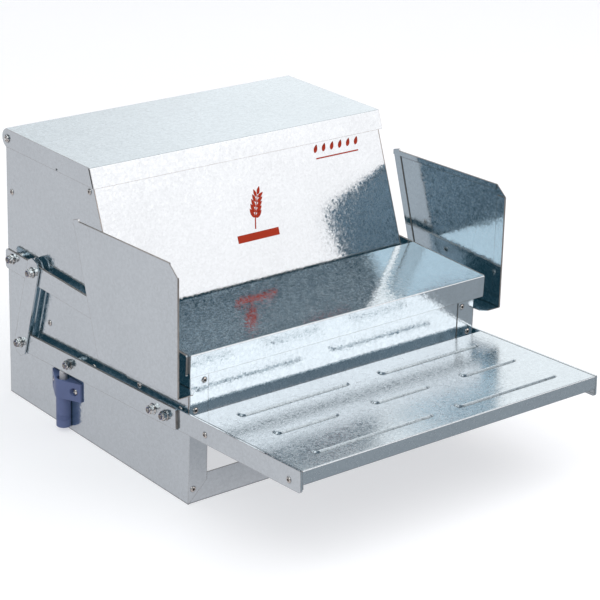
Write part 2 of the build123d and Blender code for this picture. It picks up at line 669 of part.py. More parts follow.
# ---- assembly ----
def build():
    nodes = {
        "back_panel": back_panel(),
        "hopper_front_panel": hopper_front_panel(),
        "hopper_floor": hopper_floor(),
        "trough_front_panel": trough_front_panel(),
        "front_foot_strip": front_foot_strip(),
        "front_rivets": front_rivets(),
        "top_lid": top_lid(),
        "lid_hinge_screws": lid_hinge_screws(),
        "trough_cover": trough_cover(),
        "treadle_platform": treadle_platform(),
        "damper_housing": damper_housing(),
        "damper_screws": damper_screws(),
        "damper_plunger": damper_plunger(),
    }
    inner_link = ARM_INNER - LINK_GAP - LINK_THICK
    outer_link = ARM_OUTER + LINK_GAP
    for name, side in SIDES:
        panel_face = BODY_HALF - SHEET
        washer_face = ARM_OUTER + WASHER_GAP
        fixed = [fastener(side, centre, panel_face, washer_face) for centre in (COVER_PIVOT, TREADLE_PIVOT)]
        link_washer = outer_link + LINK_THICK + WASHER_GAP
        top = fastener(side, LINK_TOP, inner_link - WASHER_GAP, link_washer)
        foot = fastener(side, LINK_FOOT, inner_link - WASHER_GAP, link_washer)
        clamps = [fastener(side, centre, TREADLE_HALF, ARM_OUTER) for centre in CLAMP_BOLTS]
        spacers = [pivot_spacer(side, centre) for centre in (COVER_PIVOT, TREADLE_PIVOT)]
        nodes[f"side_panel_{name}"] = side_panel(side)
        nodes[f"side_guard_{name}"] = side_guard(side)
        nodes[f"body_rivets_{name}"] = body_rivets(side)
        nodes[f"pivot_bolts_{name}"] = [pieces[0] for pieces in fixed]
        nodes[f"pivot_spacers_{name}"] = spacers
        nodes[f"pivot_nuts_{name}"] = [piece for pieces in fixed for piece in pieces[1:]]
        nodes[f"cover_arm_{name}"] = cover_arm(side)
        nodes[f"cover_rivets_{name}"] = cover_rivets(side)
        nodes[f"link_top_bolt_{name}"] = top[0]
        nodes[f"link_top_nut_{name}"] = top[1:]
        nodes[f"treadle_rail_{name}"] = treadle_rail(side)
        nodes[f"treadle_arm_{name}"] = treadle_arm(side)
        nodes[f"rail_rivets_{name}"] = rail_rivets(side)
        nodes[f"clamp_bolts_{name}"] = [pieces[0] for pieces in clamps]
        nodes[f"clamp_nuts_{name}"] = [piece for pieces in clamps for piece in pieces[1:]]
        nodes[f"link_foot_bolt_{name}"] = foot[0]
        nodes[f"link_foot_nut_{name}"] = foot[1:]
        nodes[f"link_outer_{name}"] = link(side, outer_link)
        nodes[f"link_inner_{name}"] = link(side, inner_link)
    return nodes


def write(nodes):
    """Move the feeder so that the middle of its footprint is the origin, then write one file a node."""
    solids = []
    for shape in nodes.values():
        solids += shape if isinstance(shape, list) else [shape]
    whole = Compound(children=[Compound(solid.wrapped) for solid in solids]).bounding_box()
    middle_y = (whole.min.Y + whole.max.Y) / 2
    for name, shape in nodes.items():
        shape = Compound(children=list(shape)) if isinstance(shape, list) else shape
        export_step(Pos(0, -middle_y, 0) * shape, f"parts/{name}.step")
    print("footprint centre is", round(middle_y, 4), "behind the body's front")


write(build())
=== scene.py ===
import json
import math

import bmesh
import bpy
from mathutils import Matrix, Vector


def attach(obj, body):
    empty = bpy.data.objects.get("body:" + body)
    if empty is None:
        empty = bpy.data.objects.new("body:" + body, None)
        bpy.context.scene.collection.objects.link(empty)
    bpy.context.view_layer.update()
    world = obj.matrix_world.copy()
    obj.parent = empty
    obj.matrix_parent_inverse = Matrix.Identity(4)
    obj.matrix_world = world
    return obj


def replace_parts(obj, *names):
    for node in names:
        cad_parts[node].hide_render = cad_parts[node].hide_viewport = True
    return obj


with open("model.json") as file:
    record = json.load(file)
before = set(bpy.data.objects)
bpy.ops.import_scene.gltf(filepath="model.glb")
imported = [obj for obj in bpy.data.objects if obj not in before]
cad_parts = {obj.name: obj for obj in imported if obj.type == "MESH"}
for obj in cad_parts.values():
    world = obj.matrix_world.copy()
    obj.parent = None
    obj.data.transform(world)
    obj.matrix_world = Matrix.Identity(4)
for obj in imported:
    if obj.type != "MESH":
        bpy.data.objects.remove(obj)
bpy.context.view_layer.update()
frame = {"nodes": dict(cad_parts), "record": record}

MM = 0.001
NODES = frame["nodes"]

# ---- camera ----
CAMERA_PLACE = (-1.4662, -1.8168, 1.0991)
CAMERA_AZIMUTH = -39.05
CAMERA_ELEVATION = 21.62
CAMERA_ROLL = 1.88
CAMERA_LENS = 129.04
CAMERA_SHIFT = (0.0051, -0.0061)

# ---- finish of the zinc-coated sheet ----
SPANGLE_SIZE = 2.7 * MM
SPANGLE_TILT = 0.045
SPANGLE_DRIFT = 0.6 * SPANGLE_SIZE
SPANGLE_MIX = ((SPANGLE_SIZE, 0.6), (SPANGLE_SIZE * 0.4, 0.4))
EDGE_WEAR_REACH = 1.3 * MM
# reach of the ambient occlusion that lays painted shade in seams and gaps between parts
PAINTED_SHADE_REACH = 2.2 * MM
WORN_ZINC = (0.26, 0.215, 0.185)
# colour of the painted shade in the seams
PAINTED_SEAM_SHADE = (0.10, 0.10, 0.105)
ZINC_TINT = (0.645, 0.71, 0.75)
FROST_GRAIN = 330.0
DULL_PATCH_GRAIN = 420.0
FINE_GRAIN = 900.0
# roughness from the clearest to the most frosted spots, of the sheets and of the trodden platform
FROST = (0.05, 0.22)
TREAD_FROST = (0.15, 0.28)
# how open a spot is where the painted shade in the seams begins and where it is full, again for the sheets and the
# platform
SEAM_SHADE_SPAN = (0.92, 0.58)
TREAD_SEAM_SHADE_SPAN = (0.985, 0.80)
DEEP_SHADE = (0.003, 0.010, 0.014)

# ---- the other colours: one, or a (dull, clean) pair ----
CRACKED_ZINC = ((0.20, 0.165, 0.14), (0.52, 0.50, 0.48))
# bright zinc of the hardware: the dull colour is stain and also painted dark reflection of the facets
BRIGHT_ZINC_AND_DARK_REFLECTIONS = ((0.17, 0.16, 0.15), (0.90, 0.89, 0.87))
BOLT_STEEL = ((0.16, 0.155, 0.15), (0.34, 0.33, 0.32))
# broken mandrel ends: bare steel, darkened near black as painted shade in the hollows of the rivet heads
MANDREL_HOLLOW_SHADE = ((0.015, 0.014, 0.013), (0.07, 0.065, 0.06))
RIVET_STEEL = ((0.55, 0.52, 0.49), (0.74, 0.72, 0.69))
DAMPER_BLUE = (0.125, 0.17, 0.34)
PLUNGER_GREY = (0.55, 0.55, 0.57)
NYLON_BLUE = (0.05, 0.10, 0.36)
PRINT_RED = (0.42, 0.036, 0.014)

# ---- the floor: as the eye sees it, and its glow behind and ahead as the metal sees it ----
FLOOR_HALF = 14.0
FLOOR_DROP = 0.2 * MM
FLOOR_SEEN = (0.55, 0.55, 0.56)
FLOOR_BEHIND = (0.47, 0.435, 0.44)
FLOOR_AHEAD = (0.07, 0.09, 0.11)
FLOOR_DARKENS = (0.45, -0.89, 0.0)
FLOOR_DARK_SPAN = (0.02, 0.42)


# ---- small helpers for shader graphs ----
class Graph:
    """Node tree of one material, with short calls for adding nodes and links."""

    def __init__(self, name):
        self.material = bpy.data.materials.new(name)
        self.material.use_nodes = True
        self.tree = self.material.node_tree
        self.tree.nodes.clear()
        self.output = self.add("ShaderNodeOutputMaterial")
        self.shader = self.add("ShaderNodeBsdfPrincipled")
        self.link(self.shader.outputs["BSDF"], self.output.inputs["Surface"])
        self.place = self.add("ShaderNodeTexCoord").outputs["Object"]

    def add(self, kind, **values):
        node = self.tree.nodes.new(kind)
        for key, value in values.items():
            setattr(node, key, value)
        return node

    def link(self, source, target):
        self.tree.links.new(source, target)

    def put(self, target, value):
        """Link a socket, or set a plain number or colour, on an input socket."""
        if isinstance(value, bpy.types.NodeSocket):
            self.link(value, target)
        else:
            target.default_value = value

    def noise(self, scale, detail=3.0, rough=0.55, output="Fac"):
        node = self.add("ShaderNodeTexNoise")
        node.inputs["Scale"].default_value = scale
        node.inputs["Detail"].default_value = detail
        node.inputs["Roughness"].default_value = rough
        self.link(self.place, node.inputs["Vector"])
        return node.outputs[output]

    def cells(self, size):
        """One plain colour for each cell of the given size."""
        node = self.add("ShaderNodeTexVoronoi")
        node.inputs["Scale"].default_value = 1 / size
        self.link(self.place, node.inputs["Vector"])
        return node.outputs["Color"]

    def math(self, operation, a, b):
        node = self.add("ShaderNodeMath", operation=operation)
        self.put(node.inputs[0], a)
        self.put(node.inputs[1], b)
        return node.outputs[0]

    def vector(self, operation, a, b, output=0):
        """Vector arithmetic; output 1 is the plain number of a dot product."""
        node = self.add("ShaderNodeVectorMath", operation=operation)
        self.put(node.inputs[0], a)
        self.put(node.inputs[1], b)
        return node.outputs[output]

    def span(self, value, low, high, to_low, to_high):
        """Stretch a value from one span to another, and clip it there."""
        node = self.add("ShaderNodeMapRange")
        for key, given in (
            ("Value", value), ("From Min", low), ("From Max", high), ("To Min", to_low), ("To Max", to_high),
        ):
            self.put(node.inputs[key], given)
        return node.outputs[0]

    def mix(self, factor, a, b):
        node = self.add("ShaderNodeMix", data_type="RGBA")
        self.put(node.inputs["Factor"], factor)
        for key, value in (("A", a), ("B", b)):
            socket = [s for s in node.inputs if s.name == key and s.type == "RGBA"][0]
            self.put(socket, value)
        return [s for s in node.outputs if s.type == "RGBA"][0]

    def bump(self, height, strength, distance, normal=None):
        node = self.add("ShaderNodeBump")
        node.inputs["Strength"].default_value = strength
        node.inputs["Distance"].default_value = distance
        self.link(height, node.inputs["Height"])
        if normal is not None:
            self.link(normal, node.inputs["Normal"])
        return node.outputs["Normal"]


def rgba(colour):
    return (*colour, 1.0)


# ---- materials ----
def galvanised(name, frost_span, seam_shade_span):
    """Hot-dip zinc sheet: flat crystals that each lean a little, with dull brown wear along the folds, and painted
    shade in the seams.
    """
    g = Graph(name)
    # the borders of the crystals wander
    drift = g.vector("SUBTRACT", g.noise(300.0, 2.0, 0.5, "Color"), (0.5, 0.5, 0.5))
    g.place = g.vector("ADD", g.place, g.vector("MULTIPLY", drift, (SPANGLE_DRIFT,) * 3))
    # each crystal leans, and the sheet waves gently
    normal = g.add("ShaderNodeNewGeometry").outputs["Normal"]
    lean = (0, 0, 0)
    for size, share in SPANGLE_MIX:
        offset = g.vector("SUBTRACT", g.cells(size), (0.5, 0.5, 0.5))
        lean = g.vector("ADD", g.vector("MULTIPLY", offset, (SPANGLE_TILT * share,) * 3), lean)
    leaning = g.vector("NORMALIZE", g.vector("ADD", normal, lean), (0, 0, 0))
    g.link(g.bump(g.noise(16.0, 2.0, 0.5), 0.14, 1.5 * MM, leaning), g.shader.inputs["Normal"])
    # colour: crystals and clouds a little darker and lighter than the tint
    shade = g.add("ShaderNodeSeparateColor")
    g.link(g.cells(SPANGLE_SIZE), shade.inputs[0])
    clouds = g.noise(9.0, 5.0, 0.6)
    tone = g.math("ADD", g.math("MULTIPLY", shade.outputs[0], 0.35), g.math("MULTIPLY", clouds, 0.65))
    darker, lighter = rgba([c * 0.95 for c in ZINC_TINT]), rgba([c * 1.05 for c in ZINC_TINT])
    zinc = g.mix(g.span(tone, 0.25, 0.75, 0.0, 1.0), darker, lighter)
    # wear where the rounded normal leaves the flat one, and painted shade in the seams, where the ambient
    # occlusion finds the spot closed in
    rounded = g.add("ShaderNodeBevel", samples=4)
    rounded.inputs["Radius"].default_value = EDGE_WEAR_REACH
    along = g.vector("DOT_PRODUCT", rounded.outputs["Normal"], normal, output=1)
    patchy = g.span(g.noise(60.0, 4.0, 0.7), 0.3, 0.65, 0.35, 0.95)
    worn = g.math("MULTIPLY", g.span(along, 0.992, 0.90, 0.0, 1.0), patchy)
    # the more closed in a spot is, the more painted shade darkens its colour
    nook = g.add("ShaderNodeAmbientOcclusion", samples=6)
    nook.inputs["Distance"].default_value = PAINTED_SHADE_REACH
    seam_shade = g.span(nook.outputs["AO"], *seam_shade_span, 0.0, 0.9)
    aged = g.mix(worn, zinc, rgba(WORN_ZINC))
    g.link(g.mix(seam_shade, aged, rgba(PAINTED_SEAM_SHADE)), g.shader.inputs["Base Color"])
    g.shader.inputs["Metallic"].default_value = 1.0
    frost = g.math("ADD", g.noise(FROST_GRAIN, 3.0, 0.65), g.math("MULTIPLY", shade.outputs[1], 0.25))
    g.link(g.span(frost, 0.48, 0.82, *frost_span), g.shader.inputs["Roughness"])
    # a trace of glow for the light that bounces many times in narrow gaps
    g.shader.inputs["Emission Color"].default_value = rgba(DEEP_SHADE)
    g.shader.inputs["Emission Strength"].default_value = 1.0
    return g.material


def cut_edge(name):
    """Sheared and folded edges, where the zinc has cracked and dulled brown."""
    g = Graph(name)
    patches = g.noise(120.0, 4.0, 0.7)
    dull, clean = CRACKED_ZINC
    g.link(g.mix(patches, rgba(dull), rgba(clean)), g.shader.inputs["Base Color"])
    g.shader.inputs["Metallic"].default_value = 0.7
    g.link(g.span(patches, 0.3, 0.7, 0.55, 0.35), g.shader.inputs["Roughness"])
    g.link(g.bump(g.noise(FINE_GRAIN), 0.2, 0.2 * MM), g.shader.inputs["Normal"])
    return g.material


def plated(name, colours):
    """Bright zinc plate on nuts, washers and screws, or darker bare steel, with dull patches; on the bright zinc
    the dull patches are stains and painted dark reflections, and the mandrel ends are darkened near black as
    painted shade.
    """
    g = Graph(name)
    dull, clean = colours
    # dull patches: stains, and on the bright zinc also painted dark reflections
    stain = g.noise(DULL_PATCH_GRAIN, 2.0)
    g.link(g.mix(g.span(stain, 0.38, 0.58, 0.0, 1.0), rgba(dull), rgba(clean)), g.shader.inputs["Base Color"])
    g.shader.inputs["Metallic"].default_value = 1.0
    g.link(g.span(stain, 0.3, 0.7, 0.07, 0.16), g.shader.inputs["Roughness"])
    g.link(g.bump(g.noise(FINE_GRAIN), 0.08, 0.3 * MM), g.shader.inputs["Normal"])
    return g.material


def rivet_metal(name):
    """Drawn steel of the blind rivets, a little greyer than the sheet."""
    g = Graph(name)
    stain = g.noise(300.0, 3.0)
    dull, clean = RIVET_STEEL
    g.link(g.mix(stain, rgba(dull), rgba(clean)), g.shader.inputs["Base Color"])
    g.shader.inputs["Metallic"].default_value = 1.0
    g.link(g.span(stain, 0.3, 0.7, 0.1, 0.22), g.shader.inputs["Roughness"])
    g.link(g.bump(g.noise(700.0), 0.1, 0.3 * MM), g.shader.inputs["Normal"])
    return g.material


def moulded(name, colour, rough=0.42):
    """Injection-moulded plastic with a slight orange-peel skin."""
    g = Graph(name)
    clouds = g.noise(60.0, 3.0)
    low = rgba([c * 0.9 for c in colour])
    high = rgba([min(1.0, c * 1.1) for c in colour])
    g.link(g.mix(clouds, low, high), g.shader.inputs["Base Color"])
    g.link(g.span(g.noise(500.0), 0.3, 0.7, rough - 0.05, rough + 0.08), g.shader.inputs["Roughness"])
    g.link(g.bump(g.noise(1500.0, 2.0), 0.12, 0.2 * MM), g.shader.inputs["Normal"])
    return g.material


def studio_floor(name):
    """Matt white sweep with soft shadows; metal sees it darker than the eye does, most of all in front."""
    g = Graph(name)
    seen = g.add("ShaderNodeLightPath").outputs["Is Camera Ray"]
    tone = g.mix(g.noise(3.0, 2.0), rgba((0.50, 0.50, 0.505)), rgba((0.52, 0.52, 0.525)))
    g.link(g.mix(seen, rgba((0.24, 0.235, 0.235)), tone), g.shader.inputs["Base Color"])
    ahead = g.vector("DOT_PRODUCT", g.place, FLOOR_DARKENS, output=1)
    sheen = g.mix(g.span(ahead, *FLOOR_DARK_SPAN, 0.0, 1.0), rgba(FLOOR_BEHIND), rgba(FLOOR_AHEAD))
    g.link(g.mix(seen, sheen, rgba(FLOOR_SEEN)), g.shader.inputs["Emission Color"])
    g.shader.inputs["Emission Strength"].default_value = 1.0
    g.shader.inputs["Roughness"].default_value = 0.8
    g.shader.inputs["Specular IOR Level"].default_value = 0.0
    return g.material


def paint(node, material):
    """Give a CAD node one material, in all of its slots."""
    if not NODES[node].material_slots:
        NODES[node].data.materials.append(material)
    for slot in NODES[node].material_slots:
        slot.material = material


def finish_cad_nodes():
    """Materials of all CAD nodes, the detailed fasteners, and the print."""
    hardware = plated("zinc_hardware", BRIGHT_ZINC_AND_DARK_REFLECTIONS)
    rivets = rivet_metal("rivet_metal")
    finish = {
        "galvanised_sheet": galvanised("zinc_sheet", FROST, SEAM_SHADE_SPAN),
        "zinc_hardware": hardware,
        "rivet": rivets,
        "damper_plastic": moulded("damper_blue", DAMPER_BLUE),
        "plunger_plastic": moulded("plunger_grey", PLUNGER_GREY, 0.35),
    }
    for subpart in frame["record"]["subparts"]:
        paint(subpart["node"], finish[subpart["material_slot"]])
    paint("treadle_platform", galvanised("zinc_tread", TREAD_FROST, TREAD_SEAM_SHADE_SPAN))
    dark_steel = plated("bolt_steel", BOLT_STEEL)
    # mandrel ends darkened near black as painted shade in the rivets' hollows
    shaded_mandrel = plated("mandrel_hollow_shade", MANDREL_HOLLOW_SHADE)
    nylon = moulded("nylon_blue", NYLON_BLUE, 0.35)
    detail_fasteners(hardware, dark_steel, rivets, shaded_mandrel, nylon)
    ink = moulded("print_red", PRINT_RED, 0.6)
    ink.node_tree.nodes["Principled BSDF"].inputs["Specular IOR Level"].default_value = 0.15
    print_ornament(ink)


# ---- raw edges of the sheet ----
WELD = 0.01 * MM
EDGE_WIDEST = 3.2 * MM
EDGE_SHORTEST = 12 * MM
EDGE_PROUD = 0.04 * MM
EDGE_CORNER = math.radians(55)
FOLDED_SHEETS = (
    "side_panel_left", "side_panel_right", "back_panel", "hopper_front_panel", "trough_front_panel",
    "front_foot_strip", "top_lid", "trough_cover", "treadle_platform", "side_guard_left", "side_guard_right",
    "treadle_arm_left", "treadle_arm_right", "cover_arm_left", "cover_arm_right",
)


def body_of_node(node):
    bodies = frame["record"]["behaviour"]["bodies"]
    return next(body for body, members in bodies.items() if node in members)


def is_raw_edge(face):
    """Long narrow faces with a square corner on both long sides."""
    half_round = sum(edge.calc_length() for edge in face.edges) / 2
    if half_round < EDGE_SHORTEST or face.calc_area() / half_round > EDGE_WIDEST:
        return False
    long_sides = [edge for edge in face.edges if edge.calc_length() > 0.3 * half_round]
    return len(long_sides) >= 2 and all(edge.calc_face_angle(0) > EDGE_CORNER for edge in long_sides)


def raw_edges(node, material):
    """Thin skin over the sheared and folded edges of a sheet."""
    sheet = bmesh.new()
    sheet.from_mesh(NODES[node].data)
    bmesh.ops.remove_doubles(sheet, verts=sheet.verts, dist=WELD)
    bmesh.ops.dissolve_limit(sheet, angle_limit=math.radians(0.5), verts=sheet.verts, edges=sheet.edges)
    others = [face for face in sheet.faces if not is_raw_edge(face)]
    bmesh.ops.delete(sheet, geom=others, context="FACES")
    bmesh.ops.solidify(sheet, geom=sheet.faces, thickness=-EDGE_PROUD)
    mesh = bpy.data.meshes.new(node + "_raw_edges")
    sheet.to_mesh(mesh)
    sheet.free()
    mesh.materials.append(material)
    piece = bpy.data.objects.new(mesh.name, mesh)
    bpy.context.scene.collection.objects.link(piece)
    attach(piece, body_of_node(node))


# ---- fasteners: turned and hexagonal details in place of the plain CAD solids ----
SIXTH = math.pi / 3
SHARP_ANGLE = math.radians(32)
NUT_APOTHEM = 5.0
SMALL_NUT_APOTHEM = 4.0
THREAD_TURNS = 8
SIDES = ("_left", "_right")
# the nuts of a pair are turned differently
FIRST_NUT_TURN = 0.35
NEXT_NUT_TURN = 0.6
CROSS_TURNS = (0.5, 0.5 + math.pi / 2)
# head radius, head height and shank radius in mm
LID_SCREW = (4.6, 2.5, 2.5)
DAMPER_SCREW = (3.9, 2.2, 2.0)

# outlines of turned solids: (radius, height) pairs in mm, from the inner end out to the outer one
WASHER = [(0, 0), (5.6, 0), (6.0, 0.25), (6.0, 0.75), (5.6, 1.0), (0, 1.0)]
LOCK_NUT = [
    (0, 1.0), (4.9, 1.0), (5.2, 1.15), (5.5, 1.32), (5.8, 1.5), (5.8, 5.0), (5.5, 5.2), (5.2, 5.38), (4.7, 5.6),
    (4.4, 5.7), (4.4, 6.75), (4.3, 7.0), (4.1, 7.15), (3.9, 7.2), (3.75, 7.15), (3.65, 6.95), (3.6, 6.5), (0, 6.5),
]
NYLON_RING = [(0, 6.4), (3.66, 6.4), (3.66, 6.8), (3.4, 6.95), (3.1, 6.9), (0, 6.9)]
RIVET_HEAD = [
    (1.95, -1.4), (3.45, -1.4), (3.6, -1.25), (3.5, -0.95), (3.1, -0.5), (2.5, -0.18), (1.9, -0.02), (1.7, 0),
    (1.55, -0.12), (1.45, -0.8), (0, -0.8),
]
MANDREL_END = [(0, -0.85), (1.42, -0.85), (1.42, -0.55), (1.1, -0.42), (0, -0.4)]
LID_SCREW_NUT = [(0, 1.0), (4.2, 1.0), (4.6, 1.3), (4.6, 4.7), (4.2, 5.0), (0, 5.0)]


def pan_head(radius, height):
    """Outline of a domed screw head, from under its rim to its top."""
    steps = ((0.96, -1), (1, -0.86), (1, -0.62), (0.93, -0.34), (0.78, -0.13), (0.56, -0.03), (0, 0))
    return [(radius * across, height * up) for across, up in steps]


def rivet_outline(length):
    """Squeezed tail behind the sheet, shank, and dished head."""
    tail = [(0, -length), (2.2, -length), (2.7, 0.4 - length), (2.7, 1.5 - length), (1.95, 1.5 - length)]
    return tail + RIVET_HEAD


def bolt_outline(length):
    """Low domed head at the inner end, plain shank, and a thread with a bevelled tip at the outer end."""
    head = [(0, -length), (3.6, -length), (4.8, 0.35 - length), (5.2, 1 - length), (5.2, 2 - length)]
    thread = [(3.0, 2 - length)]
    for turn in range(-THREAD_TURNS, 0):
        thread += [(3.0, turn - 0.8), (3.0, turn - 0.65), (2.55, turn - 0.3), (2.55, turn - 0.15)]
    return head + thread + [(3.0, -0.75), (2.7, -0.4), (2.2, 0), (0, 0)]


def screw_outline(length, head_r, head, shank_r):
    """Pointed shank and pan head."""
    shank = [(0, -length), (shank_r * 0.75, -length), (shank_r, 0.5 - length), (shank_r, -head)]
    return shank + pan_head(head_r, head)


def turned(outline, lift=0.0, apothem=None, turn=0.0, sides=36):
    """Closed solid turned about Z from an outline in mm; a hexagon of the given apothem trims it."""
    points = [Vector((0, 0, outline[0][1] + lift))]
    for radius, height in outline[1:-1]:
        for step in range(sides):
            angle = 2 * math.pi * step / sides
            reach = radius
            if apothem:
                reach = min(radius, apothem / math.cos(angle % SIXTH - SIXTH / 2))
            points.append(Vector((reach * math.cos(angle + turn), reach * math.sin(angle + turn), height + lift)))
    points.append(Vector((0, 0, outline[-1][1] + lift)))
    last = len(points) - 1
    faces = []
    for step in range(sides):
        after = (step + 1) % sides
        faces.append((0, 1 + after, 1 + step))
        for start in range(1, last - sides, sides):
            faces.append((start + step, start + after, start + sides + after, start + sides + step))
        faces.append((last - sides + step, last - sides + after, last))
    return points, faces


def crossed_bars(length, width, depth, turn):
    """Cutter for one arm of a cross recess, sunk from the top of a screw head, in mm."""
    corners = []
    for z, grow in ((-depth, 0.55), (0.6, 1.1)):
        for x, y in ((-1, -1), (1, -1), (1, 1), (-1, 1)):
            flat = Matrix.Rotation(turn, 4, "Z") @ Vector((x * length / 2 * grow, y * width / 2, 0))
            corners.append(Vector((flat.x, flat.y, z)))
    return corners, [(3, 2, 1, 0), (4, 5, 6, 7), (0, 1, 5, 4), (1, 2, 6, 5), (2, 3, 7, 6), (3, 0, 4, 7)]


def outward(node, middle):
    """Fasteners in the front wall point to the front, and all others out of their side wall."""
    if node == "front_rivets":
        return Vector((0, -1, 0))
    return Vector((math.copysign(1, middle.x), 0, 0))


def islands(node):
    """Corners of each separate solid of a CAD node, as (lowest, highest)."""
    solid = bmesh.new()
    solid.from_mesh(NODES[node].data)
    bmesh.ops.remove_doubles(solid, verts=solid.verts, dist=WELD)
    solid.verts.ensure_lookup_table()
    seen = set()
    boxes = []
    for start in solid.verts:
        if start.index in seen:
            continue
        seen.add(start.index)
        queue = [start]
        for corner in queue:
            for edge in corner.link_edges:
                other = edge.other_vert(corner)
                if other.index not in seen:
                    seen.add(other.index)
                    queue.append(other)
        places = [corner.co for corner in queue]
        boxes.append([Vector([pick(co[axis] for co in places) for axis in range(3)]) for pick in (min, max)])
    solid.free()
    return boxes


def fasteners(node):
    """(placing matrix at the outer end, length in mm) of every fastener in a CAD node."""
    found = []
    for low, high in islands(node):
        way = outward(node, (low + high) / 2)
        outer = (low + high) / 2 + way * abs((high - low).dot(way)) / 2
        inner = outer - way * abs((high - low).dot(way))
        for spot in found:
            across = outer - spot[0]
            if way == spot[2] and (across - way * across.dot(way)).length < MM:
                spot[0] = max(spot[0], outer, key=way.dot)
                spot[1] = min(spot[1], inner, key=way.dot)
                break
        else:
            found.append([outer, inner, way])
    placed = []
    for outer, inner, way in found:
        upright = Vector((0, 0, 1))
        turn = Matrix((upright.cross(way), upright, way)).transposed().to_4x4()
        placed.append((Matrix.Translation(outer) @ turn @ Matrix.Scale(MM, 4), (outer - inner).length / MM))
    return placed


def merged(name, parts):
    """One mesh, in metres, from (points, faces, placing matrix) parts."""
    points, faces = [], []
    for part_points, part_faces, placing in parts:
        first = len(points)
        points += [placing @ point for point in part_points]
        faces += [[first + index for index in face] for face in part_faces]
    mesh = bpy.data.meshes.new(name)
    mesh.from_pydata(points, [], faces)
    return mesh


def new_piece(name, parts, material, body):
    """One object from (points, faces, placing matrix) parts, riding on a body."""
    mesh = merged(name, parts)
    mesh.shade_smooth()
    mesh.set_sharp_from_angle(angle=SHARP_ANGLE)
    mesh.materials.append(material)
    piece = bpy.data.objects.new(name, mesh)
    bpy.context.scene.collection.objects.link(piece)
    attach(piece, body)
    return piece


def cut_away(piece, parts):
    """Sink closed cutters into a piece, for good."""
    cutter = bpy.data.objects.new("cutter", merged("cutter", parts))
    bpy.context.scene.collection.objects.link(cutter)
    change = piece.modifiers.new("recess", "BOOLEAN")
    change.operation = "DIFFERENCE"
    change.object = cutter
    carved = piece.evaluated_get(bpy.context.evaluated_depsgraph_get())
    mesh = bpy.data.meshes.new_from_object(carved)
    piece.modifiers.clear()
    piece.data = mesh
    bpy.data.objects.remove(cutter)


def detail_rivets(node, metal, shaded_mandrel):
    """Turned rivets for a CAD node, with the broken ends of their mandrels, coloured near black as painted shade
    in the hollows of the heads.
    """
    spots = fasteners(node)
    body = body_of_node(node)
    bodies = [(*turned(rivet_outline(length)), placing) for placing, length in spots]
    heads = new_piece(node + "_turned", bodies, metal, body)
    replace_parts(heads, node)
    cores = [(*turned(MANDREL_END, sides=20), placing) for placing, _ in spots]
    new_piece(node + "_mandrels", cores, shaded_mandrel, body)


def detail_nuts(node, metal, nylon):
    """Washers and lock nuts for a CAD node, with their nylon rings."""
    body = body_of_node(node)
    nuts, rings = [], []
    for order, (placing, length) in enumerate(fasteners(node)):
        turn = FIRST_NUT_TURN + NEXT_NUT_TURN * order
        nuts.append((*turned(WASHER, -length), placing))
        nuts.append((*turned(LOCK_NUT, -length, NUT_APOTHEM, turn), placing))
        rings.append((*turned(NYLON_RING, -length), placing))
    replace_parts(new_piece(node + "_turned", nuts, metal, body), node)
    new_piece(node + "_nylon", rings, nylon, body)


def detail_bolts(node, metal):
    """Threaded bolts for a CAD node."""
    bolts = [(*turned(bolt_outline(length), sides=28), placing) for placing, length in fasteners(node)]
    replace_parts(new_piece(node + "_turned", bolts, metal, body_of_node(node)), node)


def detail_screws(node, metal, sizes, nut=None):
    """Screws with a cross recess, and a plain nut on their inner end where its outline is given."""
    head_r, head, _ = sizes
    spots = fasteners(node)
    parts = [(*turned(screw_outline(length, *sizes)), placing) for placing, length in spots]
    if nut:
        parts += [(*turned(nut, -length, SMALL_NUT_APOTHEM), placing) for placing, length in spots]
    piece = new_piece(node + "_turned", parts, metal, body_of_node(node))
    for turn in CROSS_TURNS:
        bar = crossed_bars(head_r * 1.15, head_r * 0.2, head * 0.55, turn)
        cut_away(piece, [(*bar, placing) for placing, _ in spots])
    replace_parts(piece, node)


def detail_fasteners(hardware, dark_steel, rivet, shaded_mandrel, nylon):
    for node in ("body_rivets", "cover_rivets", "rail_rivets"):
        for side in SIDES:
            detail_rivets(node + side, rivet, shaded_mandrel)
    detail_rivets("front_rivets", rivet, shaded_mandrel)
    for side in SIDES:
        for node in ("pivot_nuts", "clamp_nuts", "link_top_nut", "link_foot_nut"):
            detail_nuts(node + side, hardware, nylon)
        for node in ("pivot_bolts", "clamp_bolts", "link_top_bolt", "link_foot_bolt"):
            detail_bolts(node + side, dark_steel)
    detail_screws("lid_hinge_screws", hardware, LID_SCREW, LID_SCREW_NUT)
    detail_screws("damper_screws", hardware, DAMPER_SCREW)


# ---- plain printed ornament on the hopper: a bar, a sprig of grain above it, and a row of seeds ----
# in mm on the leaning face: across from its middle, and up the slope from its foot
PRINT_GAP = 0.02
PRINT_THICK = 0.05
# middle of a plain bar, its length and its width
PRINT_BAR = (0.5, 84.7, 61.0, 9.0)
SEED_LINE = (139.0, 158.5, 66.0, 1.6)
STEM_FOOT = (-2.0, 93.0)
STEM_LEAN = 10.0
STEM_BEND = 16.0
STEM_LENGTH = 44.0
STEM_STEPS = 12
STEM_SHOWN = 0.92
# half the stem's width at its foot, and how much of that is gone at its tip
STEM_HALF = 0.9
STEM_TAPER = 0.4
GRAIN_PAIRS = 5
# place of the first pair along the stem, the step to the next, and the place of the top grain
GRAIN_FIRST = 0.30
GRAIN_STEP = 0.14
GRAIN_TOP = 0.93
GRAIN_SPREAD = 0.62
GRAIN_ASIDE = 1.2
# how much shorter and narrower each pair is than the one below
GRAIN_SHRINK = (0.7, 0.25)
# length and width
GRAIN = (12.5, 5.0)
SEED = (11.0, 5.2)
SEEDS = 6
SEED_LEAN = math.radians(62)
# first and last place across, and the height
SEED_ROW = (108.0, 171.0, 170.5)


